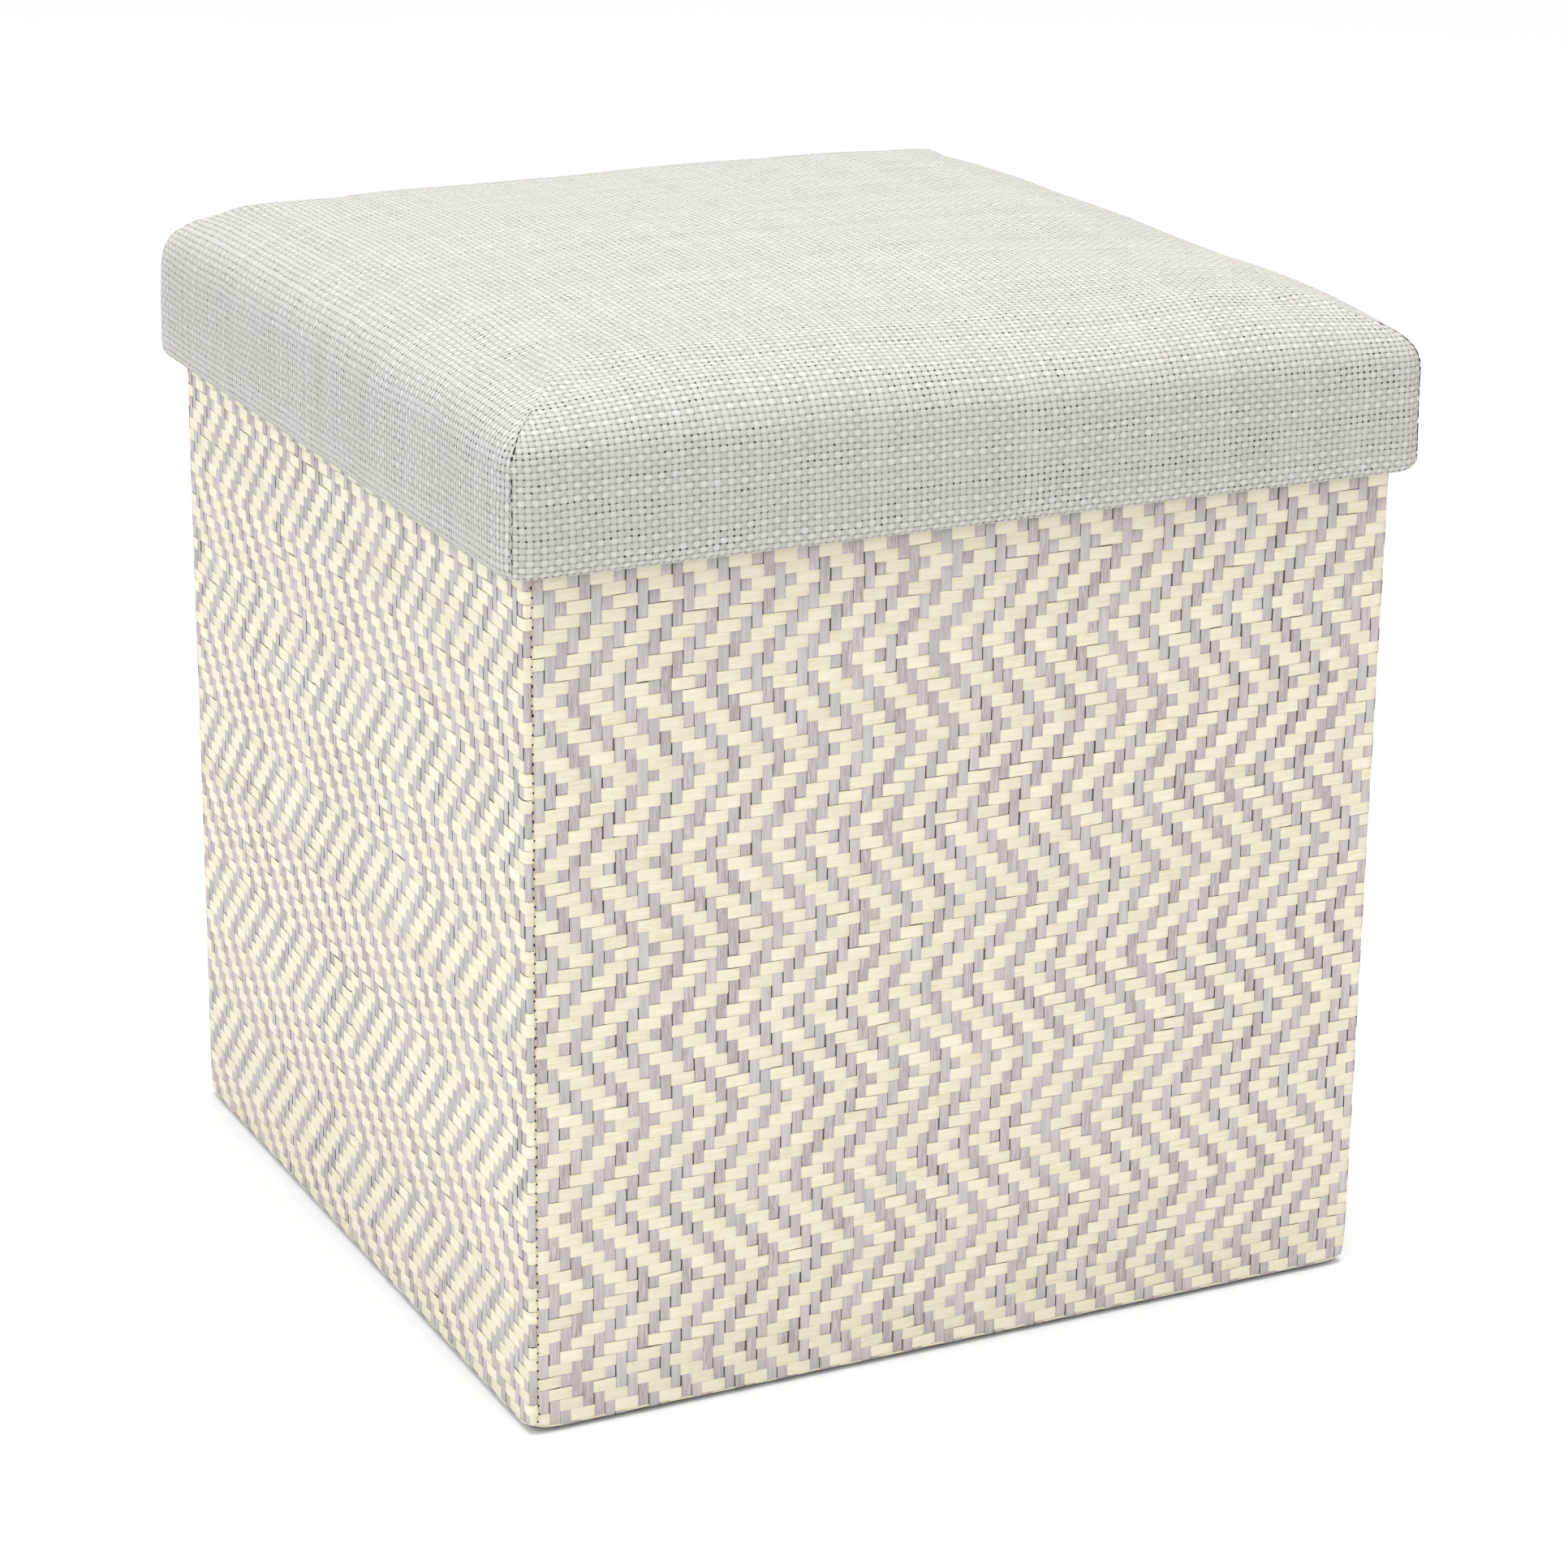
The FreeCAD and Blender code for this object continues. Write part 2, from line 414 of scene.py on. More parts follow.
def groove(s):
    """Depth of the corner seams and wall creases at place s."""
    depth = 0
    for seam in (SEAM, SEAM + RUN, SEAM + 2 * RUN):
        depth = depth + SEAM_DEPTH * np.exp(-((s - seam) / SEAM_WIDTH) ** 2)
    for crease in CREASES:
        depth = depth + CREASE_DEPTH * np.exp(-((s - crease) / CREASE_WIDTH) ** 2)
    return depth


def on_wall(s, w, n):
    """The point at place s, path height w and n outward, with rounded edges and a turned hem."""
    s, w, n = np.broadcast_arrays(s, w, n)
    turn = np.clip((HEM_TURN - w) / HEM_R, 0, math.pi / 2)
    inward = np.maximum(HEM_TURN - HEM_R * math.pi / 2 - w, 0)
    fade = np.clip(w / 30, 0, 1) * np.clip((TOP - BINDING_REACH - w) / 30, 0, 1)
    n = n + BULGE * swell(s, w) * fade
    out = -HEM_R * (1 - np.cos(turn)) - inward + n * np.cos(turn)
    z = np.where(turn > 0, HEM_TURN, w) - (HEM_R + n * 0.6) * np.sin(turn)
    q = np.mod(s, SIDE)
    side = np.floor(s / SIDE)
    from_corner = np.minimum(q, SIDE - q)
    soft = np.exp(-(from_corner / HEM_CORNER) ** 2) * np.clip(1 - (w - HEM_END) / 11, 0, 1) ** 2
    z = z + HEM_CORNER_RISE * soft
    out = out - HEM_CORNER_TUCK * soft
    lean = np.clip((CORNER_R - from_corner) / CORNER_R, 0, 1) * math.pi / 4 * np.where(q < HALF, -1, 1)
    reach = np.maximum(CORNER_R + out, 0.1)
    straight = np.clip(q - HALF, CORNER_R - HALF, HALF - CORNER_R)
    x = straight + reach * np.sin(lean)
    y = -HALF + CORNER_R - reach * np.cos(lean)
    return to_side(side, x, y, z)


def cream_on_top(k, j):
    """The pointed twill: cream floats two wide, stepping aside each row and turning back at the points."""
    return np.mod(k + 1 + np.abs(np.mod(j - 3, 2 * TWILL_TURN) - TWILL_TURN), 4) < 2


ACROSS = np.array([-1.0, -0.62, 0.62, 1.0])     # where a strip is sampled across its width
ROWS = np.arange(-1, int((TOP - ROW_FOOT) / ROW) + 1)
strip_random = np.random.default_rng(11).random((4, 400))


def float_samples(top, reach, seed):
    """Where a strip is sampled in each cell, and its height there.

    top is [strip, cell], with a cell to spare at both ends. reach is how far into a cell a strip on top
    is up, and how far into one a strip underneath is down.
    """
    reach_top, reach_under = reach
    inner = top[:, 1:-1]
    same_before, same_after = top[:, :-2] == inner, top[:, 2:] == inner
    luck = np.random.default_rng(seed).random((2, *inner.shape)) * 0.07 - 0.02
    first = np.where(same_before, 0.1, np.where(inner, reach_top + luck[0], reach_under))
    final = 1 - np.where(same_after, 0.1, np.where(inner, reach_top + luck[1], reach_under))
    place = np.stack([first, np.full(inner.shape, 0.5), final], -1)
    base = np.where(inner, OVER, -OVER)
    rise = np.stack([base + 0.05 * same_before, base + 0.05, base + 0.05 * same_after], -1)
    return place, rise.reshape(len(top), -1)


def kept_between(w):
    """Path heights eased to stay inside the hem's end and the top edge."""
    ease = 1.5
    low, high = HEM_END + ease, TOP - ease
    w = np.where(w < low, HEM_END + ease * np.exp(np.minimum(w - low, 0) / ease), w)
    return np.where(w > high, TOP - ease * np.exp(np.minimum(high - w, 0) / ease), w)


def calm(w):
    """Share of the relief left at height w: the strips are pressed flat at the hem and under the binding."""
    at_hem = np.clip(0.55 + w / 40, 0, 1)
    at_binding = np.clip(0.7 + (TOP - BINDING_REACH - w) / 10, 0.7, 1)
    return at_hem * at_binding


def upright_strips(run, k0, k1, cream):
    """The grey strips of one panel, as a grid with its shader attributes."""
    ks = np.arange(k0, k1)
    place, rise = float_samples(~cream[1:-1], UPRIGHT_REACH, 100 + k0 + run)
    rise = rise[:, None, :]
    cells = (ROWS[None, :, None] + place).reshape(len(ks), 1, -1)
    k_mid = (ks + 0.5)[:, None, None]
    across = ACROSS[None, :, None]
    centre = column_place(run, k_mid, ROW_FOOT + ROW * cells)
    w = kept_between(row_place(centre, cells))
    fill, uneven = UPRIGHT_FILL
    half = COLUMN / 2 * (fill + uneven * width_noise(k_mid + 90 * run, w / FIELD_STEP))
    s = centre + across * half + 0.10 * twist(w, k_mid + 500)
    drop = -EDGE_DROP * (np.abs(across) > 0.9)
    n = MIDDLE + (rise + drop) * calm(w) - groove(s)
    tone = strip_random[run][ks][:, None, None]
    return on_wall(s, w, n), {"along": w * MM, "across": across, "strip": tone, "lift": rise / OVER}


def level_strips(run, k0, k1, cream):
    """The cream strips of one panel, as a grid with its shader attributes."""
    place, rise = float_samples(cream[:, 1:-1].T, LEVEL_REACH, 300 + k0 + run)
    cells = np.clip((np.arange(k0, k1)[None, :, None] + place).reshape(len(ROWS), -1), k0 + 0.03, k1 - 0.03)
    ends = np.full((len(ROWS), 1), 1.0)
    cells = np.concatenate([ends * k0, cells, ends * k1], 1)[:, :, None]
    up_at_ends = [np.where(pair.any(0)[1:-1], OVER, -OVER)[:, None] for pair in (cream[:2], cream[-2:])]
    rise = np.concatenate([up_at_ends[0], rise, up_at_ends[1]], 1)[:, :, None]
    row_mid = (ROWS + 0.5)[:, None, None]
    across = ACROSS[None, None, :]
    s = column_place(run, cells, ROW_FOOT + ROW * row_mid)
    fill, uneven = LEVEL_FILL
    half = ROW / 2 * (fill + uneven * width_noise(row_mid + 40, s / FIELD_STEP))
    tilt = 0.16 * twist(s, row_mid)
    w = kept_between(row_place(s, row_mid) + tilt + across * half)
    drop = -EDGE_DROP * (np.abs(across) > 0.9)
    n = MIDDLE + (rise + 0.6 * drop) * calm(w) - groove(s)
    tone = strip_random[2 + run][ROWS + 1][:, None, None]
    return on_wall(s, w, n), {"along": s * MM, "across": across, "strip": tone, "lift": rise / OVER}


def backing_sheet(run, k0, k1):
    """The cloth that the strips are laid on, coloured dark as painted shade for the slits between the strips.
    """
    edges = column_place(run, np.array([k0, k1], float), 200.0)
    s = np.linspace(edges[0], edges[1], int((k1 - k0) * 2) + 1)[None, :, None]
    w = np.r_[HEM_END + 0.5, HEM_TURN - 1.6, HEM_TURN - 0.8, np.linspace(HEM_TURN, TOP, 60)]
    w = w[None, None, :]
    n = BACKING_DEPTH - np.minimum(groove(s), 0.5)
    return on_wall(s, w, np.broadcast_to(n, np.broadcast_shapes(s.shape, w.shape)))


AT_CORNER = int((SIDE - SEAM) / COLUMN) - 1
AT_CREASE = round((1.5 * SIDE - SEAM) / COLUMN)
# panel: run, first and last column, body, body it turns into at the corner, and the corner's y direction
PANELS = {
    "front": (0, 0, AT_CORNER, "front_wall", None, 0),
    "right_front": (0, AT_CORNER, AT_CREASE, "right_front", "front_wall", -1),
    "right_rear": (0, AT_CREASE, STRIPS, "right_rear", "back_wall", 1),
    "back": (1, 0, AT_CORNER, "back_wall", None, 0),
    "left_rear": (1, AT_CORNER, AT_CREASE, "left_rear", "back_wall", 1),
    "left_front": (1, AT_CREASE, STRIPS, "left_front", "front_wall", -1),
}


def bend_to(obj, body, other):
    """Ride on one body, or, where the panel turns the corner into another body, stay unattached with its
    transform applied to its points.
    """
    if other:
        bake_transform(obj)
    else:
        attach(obj, body)


for wall, (run, k0, k1, body, other, toward) in PANELS.items():
    columns, rows = np.arange(k0 - 1, k1 + 1), np.r_[ROWS[0] - 1, ROWS, ROWS[-1] + 1]
    cream = cream_on_top(columns[:, None], rows[None, :])
    upright = grid_object(f"{wall}_upright_strips", *upright_strips(run, k0, k1, cream))
    level = grid_object(f"{wall}_level_strips", *level_strips(run, k0, k1, cream))
    backing = grid_object(f"{wall}_weave_backing_shade", backing_sheet(run, k0, k1))
    looks = (upright, GREY, "paper_weave"), (level, CREAM, "paper_weave"), (backing, BACKING_SHADE, "lining")
    for piece, material, slot in looks:
        dress(piece, material, slot, None, f"{wall}_weave")
        bend_to(piece, body, other)


# ------------------------------------------------------------------ the padded lid
YARN_X, YARN_Y = 2.8, 2.5     # pitch of the lid cloth's yarns along each side of the seat
ROLL_IN = 158.0               # half width of the seat before it starts to roll over
ROLL_FOOT = 389.0             # height where the roll meets the skirt
ROLL_TOP = lid_high.z / MM - 6.0
ROLL_POWER = 0.74             # below 1, the roll is squarer than a quarter ellipse
ROLL_RINGS = 14
SKIRT_RINGS = 8
RIM_RINGS = 5
RIM_R, RIM_IN = 4.6, 3.6      # the rounded rim: how high it starts and how far it turns in
TURNED_UNDER = 194.8, 193.4   # half widths of the cover turned under the rim
PER_SIDE = 64
LID_CORNER_R = 7.0
SEAT_DOME, SEAT_FULLNESS = 5.6, 4.6
INFLATE_CAP = 2.5


def lid_rings():
    """Half width, upright corner radius, height and length along the cloth of each ring, seat to rim."""
    rings = [(ROLL_IN, 0.0, ROLL_TOP)]
    for i in range(1, ROLL_RINGS + 1):
        turn = i / ROLL_RINGS * math.pi / 2
        out, rise = math.sin(turn) ** ROLL_POWER, math.cos(turn) ** ROLL_POWER
        half = ROLL_IN + (LID_HALF - ROLL_IN) * out
        corner = LID_CORNER_R * (i / ROLL_RINGS) ** 1.5
        rings.append((half, corner, ROLL_FOOT + (ROLL_TOP - ROLL_FOOT) * rise))
    rim_start = RIM + 5.0
    for z in np.linspace(ROLL_FOOT, rim_start, SKIRT_RINGS)[1:]:
        rings.append((LID_HALF, LID_CORNER_R, z))
    for i in range(1, RIM_RINGS + 1):
        turn = i / RIM_RINGS * math.pi / 2
        half = LID_HALF - RIM_IN * (1 - math.cos(turn))
        rings.append((half, LID_CORNER_R, rim_start - RIM_R * math.sin(turn)))
    for half in TURNED_UNDER:
        rings.append((half, 4.0, RIM + 0.5))
    lengths = [ROLL_IN]
    for before, after in zip(rings, rings[1:]):
        lengths.append(lengths[-1] + math.hypot(after[0] - before[0], after[2] - before[2]))
    return [(*ring, length) for ring, length in zip(rings, lengths)]


def ring_points(half, corner):
    """Points round a rounded square, PER_SIDE to a side, and their places along their sides."""
    middle = half - corner + corner * math.pi / 4
    along = np.linspace(-middle, middle, PER_SIDE + 1)[:-1]
    lean = np.clip((np.abs(along) - (half - corner)) / max(corner, 1e-6), 0, math.pi / 4) * np.sign(along)
    straight = np.clip(along, corner - half, half - corner)
    x = straight + corner * np.sin(lean)
    y = -(half - corner) - corner * np.cos(lean)
    points = [to_side(side, x, y, x)[:, :2] for side in range(4)]
    return np.concatenate(points), np.tile(along, 4)


def lid_mesh():
    """The cover as one sheet: a square grid for the seat, then rings over the roll, down and under the rim.

    Gives its points, faces, cloth places by face corner, the ring of each point and the number of rings.
    """
    steps = np.linspace(-ROLL_IN, ROLL_IN, PER_SIDE + 1)
    gx, gy = np.meshgrid(steps, steps, indexing="ij")
    points = [np.stack([gx, gy, np.full_like(gx, ROLL_TOP)], -1).reshape(-1, 3)]
    cell = np.arange((PER_SIDE + 1) ** 2).reshape(PER_SIDE + 1, PER_SIDE + 1)
    quads = grid_faces(cell)
    cloth = [np.stack([gx, gy], -1).reshape(-1, 2)[quads]]
    faces = [quads]
    edge = np.concatenate([cell[:-1, 0], cell[-1, :-1], cell[:0:-1, -1], cell[0, :0:-1]])
    ring_of = [np.zeros(len(points[0]))]
    start = len(points[0])
    rings = lid_rings()
    _, along_before = ring_points(ROLL_IN, 0)
    length_before = rings[0][3]
    for number, (half, corner, z, length) in enumerate(rings[1:], 1):
        flat, along = ring_points(half, corner)
        points.append(np.concatenate([flat, np.full((len(flat), 1), z)], 1))
        ring_of.append(np.full(len(flat), number))
        here = np.arange(start, start + len(flat))
        faces.append(np.stack([edge, here, np.roll(here, -1), np.roll(edge, -1)], -1))
        before, after = (along_before, length_before), (along, length)
        ends = []
        for (place, down), shift in ((before, 0), (after, 0), (after, 1), (before, 1)):
            u = place + shift * (place[1] - place[0])
            ends.append(np.stack([u, np.full_like(u, -down)], -1))
        loops = np.stack(ends, 1)
        for side in range(4):
            part = slice(side * PER_SIDE, (side + 1) * PER_SIDE)
            cosine, sine = round(math.cos(side * math.pi / 2)), round(math.sin(side * math.pi / 2))
            loops[part] = loops[part] @ np.array([[cosine, sine], [-sine, cosine]])
        cloth.append(loops)
        edge, start, along_before, length_before = here, start + len(flat), along, length
    joined = (np.concatenate(part) for part in (points, faces, cloth, ring_of))
    return *joined, len(rings)


def inflate(obj, loose, cap):
    """The points after a cloth simulation with air pressure inside.

    loose is how free each point is, 0 to 1. No point moves out by more than cap mm.
    """
    before = coordinates(obj.data)
    group = obj.vertex_groups.new(name="held")
    for i, value in enumerate(1 - loose):
        group.add([i], float(value), "REPLACE")
    cloth = obj.modifiers.new("cloth", "CLOTH")
    settings = cloth.settings
    settings.quality = 5
    settings.mass = 0.15
    settings.tension_stiffness = 8
    settings.compression_stiffness = 8
    settings.bending_stiffness = 0.8
    settings.use_pressure = True
    settings.uniform_pressure_force = 6
    settings.vertex_group_mass = "held"
    settings.effector_weights.gravity = 0
    cloth.collision_settings.use_collision = False
    scene = bpy.context.scene
    for frame_number in range(1, 21):
        scene.frame_set(frame_number)
    shaped = obj.evaluated_get(bpy.context.evaluated_depsgraph_get()).to_mesh()
    moved = coordinates(shaped) - before
    obj.modifiers.remove(cloth)
    obj.vertex_groups.remove(group)
    scene.frame_set(1)
    normals = np.empty(len(obj.data.vertices) * 3, np.float32)
    obj.data.vertices.foreach_get("normal", normals)
    normals = normals.reshape(-1, 3)
    lift = (moved * normals).sum(1)
    lift = cap * np.tanh(np.maximum(lift, -0.2) / cap)
    return before + normals * (lift * loose)[:, None]


def shape_seat(points, ring, waves, dimples):
    """Lay waves over the seat, and let it sink toward its corners and in a dip at the front edge."""
    x, y = points[:, 0], points[:, 1]
    seat = np.clip((12 - ring) / 8, 0, 1)
    points[:, 2] += seat * (1.1 * waves(x, y) + 0.35 * dimples(x, y))
    from_corner = ((LID_HALF - np.abs(points[:, :2])) ** 2).sum(1)
    corners = 3.6 * np.exp(-from_corner / 1500)
    dip = 2.0 * np.exp(-((x - 65) / 42) ** 2 - ((y + 172) / 30) ** 2)
    points[:, 2] -= seat * (corners + dip)


def shape_skirt(points, heights, ring, rings, waves, dimples):
    """Push the skirt's cloth in and out in waves, and draw it in at the corner seams."""
    x, y = points[:, 0], points[:, 1]
    skirt = np.clip((ring - 6) / 8, 0, 1) * np.clip((rings - 3 - ring) / 6, 0, 1)
    side = np.abs(points[:, :2]) > 0.97 * LID_HALF
    push = 0.7 * waves(x + y * 1.7, heights * 1.4) + 0.25 * dimples(x + y * 1.7, heights)
    points[:, :2] += np.sign(points[:, :2]) * side * ((push + 0.5) * skirt)[:, None]
    seam = (np.abs(np.abs(x) - np.abs(y)) < 0.3) & (ring > 5) & (ring < rings - 2)
    points[:, :2] -= np.sign(points[:, :2]) * (seam * 0.75)[:, None]


def make_lid_cover():
    """The padded cover: crowned, filled with air where a simulation is run, then waved."""
    points, faces, cloth, ring, rings = lid_mesh()
    heights = points[:, 2].copy()
    dome = np.clip(1 - (points[:, :2] / 170) ** 2, 0, 1).prod(1) ** 0.8 * (ring == 0)
    fullness = np.clip(1 - np.abs(points[:, :2] / LID_HALF) ** 6, 0, 1).prod(1)
    points[:, 2] += SEAT_DOME * dome + SEAT_FULLNESS * fullness * np.clip((14 - ring) / 8, 0, 1)
    obj = quad_object("lid_cover_cloth", points, faces)
    layer = obj.data.uv_layers.new(name="cloth")
    layer.data.foreach_set("uv", (cloth * MM).astype(np.float32).ravel())
    held_ring = rings - 9
    points = inflate(obj, np.clip((held_ring - ring) / 6, 0, 1), INFLATE_CAP)
    waves = smooth_field(21, 62.0, 62.0)
    dimples = smooth_field(22, 24.0, 24.0)
    shape_skirt(points, heights, ring, rings, waves, dimples)
    shape_seat(points, ring, waves, dimples)
    obj.data.vertices.foreach_set("co", (points * MM).astype(np.float32).ravel())
    obj.data.update()
    smoother = obj.modifiers.new("smooth", "SUBSURF")
    smoother.levels = smoother.render_levels = 1
    return obj


def lid_material():
    """Plain weave of flat yarn in cloth coordinates: one up, one down, pinholes at the crossings."""
    g = Graph("lid_plain_weave")
    uv = g.add("ShaderNodeUVMap", uv_map="cloth").outputs[0]
    warp = g.noise(uv, 30.0, 3.0)
    yarns = 1 / (YARN_X * MM), 1 / (YARN_Y * MM), 1.0
    scaled = g.add("ShaderNodeVectorMath", {0: uv, 1: yarns}, operation="MULTIPLY").outputs[0]
    parts = g.add("ShaderNodeSeparateXYZ", {0: scaled}).outputs
    wander = g.times(g.minus(warp, 0.5), 0.8)
    x = g.plus(parts[0], wander)
    y = g.minus(parts[1], wander)
    column, row = g.math("FLOOR", x), g.math("FLOOR", y)
    fx = g.math("ABSOLUTE", g.minus(g.math("FRACT", x), 0.5))
    fy = g.math("ABSOLUTE", g.minus(g.math("FRACT", y), 0.5))
    over = g.math("FLOORED_MODULO", g.plus(column, row), 2.0)
    across = g.mix_value(over, fy, fx)
    length = g.mix_value(over, fx, fy)
    yarn = g.mix_value(over, row, g.plus(column, 400.0))
    plump = g.random(g.plus(yarn, 0.5))
    # half width of a yarn in its cell; past that the next float's end shows
    own = g.plus(g.mix_value(over, 0.40, 0.345), g.times(plump, 0.06))
    beyond = g.math("GREATER_THAN", across, own)
    level = g.math("ABSOLUTE", g.minus(over, beyond))
    yarn = g.mix_value(beyond, yarn, g.mix_value(over, g.plus(column, 400.0), row))
    flank = g.math("POWER", g.math("DIVIDE", across, own), 4.0)
    plain = g.minus(1.0, g.times(flank, 0.45))
    body = g.times(plain, g.math("COSINE", g.times(length, 1.9)))
    tip = g.minus(0.5, g.math("POWER", g.math("DIVIDE", length, own), 4.0))
    height = g.mix_value(beyond, body, tip)
    # painted shade in the gaps between yarns, along the edges of the yarn on top
    from_edge = g.math("DIVIDE", g.math("ABSOLUTE", g.minus(across, own)), 0.05)
    line = g.minus(1.0, g.math("MINIMUM", 1.0, from_edge))
    # pinholes at the crossings, larger along some runs of yarn
    crossing = {"Vector": g.vector(g.math("ROUND", x), g.math("ROUND", y), 0.0)}
    cell = g.add("ShaderNodeTexWhiteNoise", crossing, noise_dimensions="3D").outputs[0]
    stretched = g.vector(g.times(x, 0.06), g.times(g.math("ROUND", y), 0.43), 3.0)
    runs = g.ramp(g.noise(stretched, 1.0, 3.0), (0.48, 0.08), (0.57, 1.0))
    size = g.math("MULTIPLY_ADD", g.times(g.math("SQRT", cell), runs), 0.155, 0.012)
    corner = g.math("MINIMUM", fx, fy)
    inside = g.math("DIVIDE", g.minus(corner, g.minus(0.5, size)), 0.03)
    hole = g.math("MINIMUM", 1.0, g.math("MAXIMUM", 0.0, inside))
    tone = g.random(yarn)
    fibre = g.vector(g.times(across, 15.0), g.times(g.plus(parts[0], parts[1]), 1.3), yarn)
    slub = g.noise(fibre, 1.0, 3.0)
    # colour by yarn, darker along one direction, in slubs, with painted shade at the ends of floats, between
    # yarns and in the pinholes
    colour = g.mix(tone, srgb(192, 188, 182), srgb(208, 205, 200))
    colour = g.mix(g.times(level, 0.28), colour, srgb(160, 153, 146))
    colour = g.mix(g.ramp(slub, (0.40, 0.0), (0.68, 0.5)), colour, srgb(160, 152, 143))
    tan = g.ramp(g.noise(uv, 55.0, 2.0), (0.45, 0.0), (0.75, 0.16))
    colour = g.mix(tan, colour, srgb(196, 178, 160))
    # painted shade: each float darkens toward its ends, where it dives under the crossing yarn
    dip = g.math("POWER", g.math("MINIMUM", 1.0, g.times(length, 2.0)), 3.0)
    colour = g.mix(g.times(dip, 0.34), colour, srgb(128, 119, 110))
    # the painted shade between yarns is patchy in strength
    spread = g.noise(g.vector(g.times(x, 0.9), g.times(y, 0.9), 7.0), 1.0, 3.0)
    painted_gap_shade_strength = g.ramp(spread, (0.38, 0.12), (0.66, 0.85))
    colour = g.mix(g.times(line, painted_gap_shade_strength), colour, srgb(104, 95, 88))
    # painted shade: the pinholes are coloured near black for the dark inside them
    colour = g.mix(hole, colour, srgb(46, 40, 37))
    bumped = g.bump(g.minus(height, g.times(hole, 0.8)), 0.0005, 0.9)
    rough = g.math("MULTIPLY_ADD", slub, 0.15, 0.68)
    return g.finish(colour, rough, g.bump(slub, 0.00008, 0.6, bumped), 0.25)


LID_CLOTH = lid_material()
cover = dress(make_lid_cover(), LID_CLOTH, "lid_weave", "lid", "lid_cover", "lid_foam", "lid_skirt_padding")


# ------------------------------------------------------------------ sewing, linings, bindings, boards
def stitches_object(name, starts, ends, outward, radius, rise):
    """Short plump thread stitches, each from a start to an end and bowed outward, in mm."""
    t = np.linspace(0, 1, 8)
    around = np.linspace(0, 2 * math.pi, 9)
    along = ends - starts
    unit = along / np.linalg.norm(along, axis=1, keepdims=True)
    across = np.cross(unit, outward)
    bow = np.sin(math.pi * t)
    straight = starts[:, None] + along[:, None] * t[None, :, None]
    centre = straight + outward[:, None] * (rise * bow)[None, :, None]
    thick = np.broadcast_to(radius * np.maximum(bow, 0.02) ** 0.4, centre.shape[:2])
    cosine, sine = np.cos(around)[None, None, :, None], np.sin(around)[None, None, :, None]
    circle = cosine * across[:, None, None] + sine * outward[:, None, None]
    return grid_object(name, centre[:, :, None] + circle * thick[:, :, None, None])


def wall_seam(name, seam, body):
    """Lockstitch and needle holes down one corner seam of the box."""
    pitch, length = 3.8, 2.7
    foot = np.arange(FOOT + 3.0, RIM + 30, pitch)
    slip = 0.15 * np.random.default_rng(31 + int(seam)).standard_normal((len(foot), 2))
    start = on_wall(seam + slip[:, 0], foot, MIDDLE)
    end = on_wall(seam + slip[:, 1], foot + length, MIDDLE)
    outward = np.tile(on_wall(seam, 200.0, 1.0) - on_wall(seam, 200.0, 0.0), (len(foot), 1))
    thread = stitches_object(name + "_thread", start, end, outward, 0.24, 0.12)
    dress(thread, THREAD, "thread", body, name + "_corner_stitching")
    # painted shade: the needle holes are dark tubes standing for the dark inside the holes
    hole = on_wall(seam + slip[:, 0] * 1.5, foot - 0.95, -0.30)
    holes = stitches_object(name + "_needle_holes", hole, hole + (0, 0, 0.85), outward, 0.36, 0.03)
    dress(holes, HOLE, "thread", body)


wall_seam("front_left", SEAM, "front_wall")
wall_seam("back_right", SEAM + RUN, "back_wall")


def cloth_panel(face, low, high, z, depth, seed, slack=0.22):
    """A slack cloth sheet inside one side, from low to high along it, eased flat under the binding."""
    step = 7.0
    across = np.linspace(low, high, max(int((high - low) / step), 8) + 1)[:, None]
    up = np.linspace(z[0], z[1], int((z[1] - z[0]) / step) + 1)[None, :]
    ripple = smooth_field(seed, 46.0, 70.0)(across, up) + 0.4 * smooth_field(seed + 1, 13.0, 22.0)(across, up)
    across, up = np.broadcast_arrays(across, up)
    free = np.clip((z[1] - 8 - up) / 30, 0, 1)
    y = -depth + slack * (free * ripple + 0.5 * free - 1.1)
    return to_side(face, across, y, up)[:, ::-1]


def binding_panel(face, low, high):
    """Tape folded over the top edge of a wall, from low to high along it."""
    foot = -BINDING_REACH
    outer = [(0.12, foot), (0.15, -4.0), (0.15, -1.2), (-0.25, -0.35), (-1.4, 0.0)]
    inner = [(-3.2, 0.05), (-5.0, 0.0), (-6.2, -0.35), (-6.5, -1.2), (-6.5, -4.0), (-6.45, foot)]
    outline = outer + inner
    n = np.array([p[0] for p in outline])[None, :]
    z = BINDING_TOP - 0.25 + np.array([p[1] for p in outline])[None, :]
    across = np.linspace(low, high, int((high - low) / 4) + 1)[:, None]
    ripple = 0.06 * smooth_field(61 + face, 17.0, 6.0)(across, n)
    across, n, z = np.broadcast_arrays(across, n + ripple, z + ripple)
    return to_side(face, across, -HALF - n, z)


# wall: side of the box, counted in quarter turns from the front, and body
WALLS = {
    "front": (0, "front_wall"), "back": (2, "back_wall"),
    "right_front": (1, "right_front"), "right_rear": (1, "right_rear"),
    "left_rear": (3, "left_rear"), "left_front": (3, "left_front"),
}


def reach_along(face, node):
    """A CAD node's two ends along its side of the box, in mm."""
    axis = 0 if face in (0, 2) else 1
    way = 1 if face in (0, 1) else -1
    return sorted(v[axis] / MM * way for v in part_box(node))


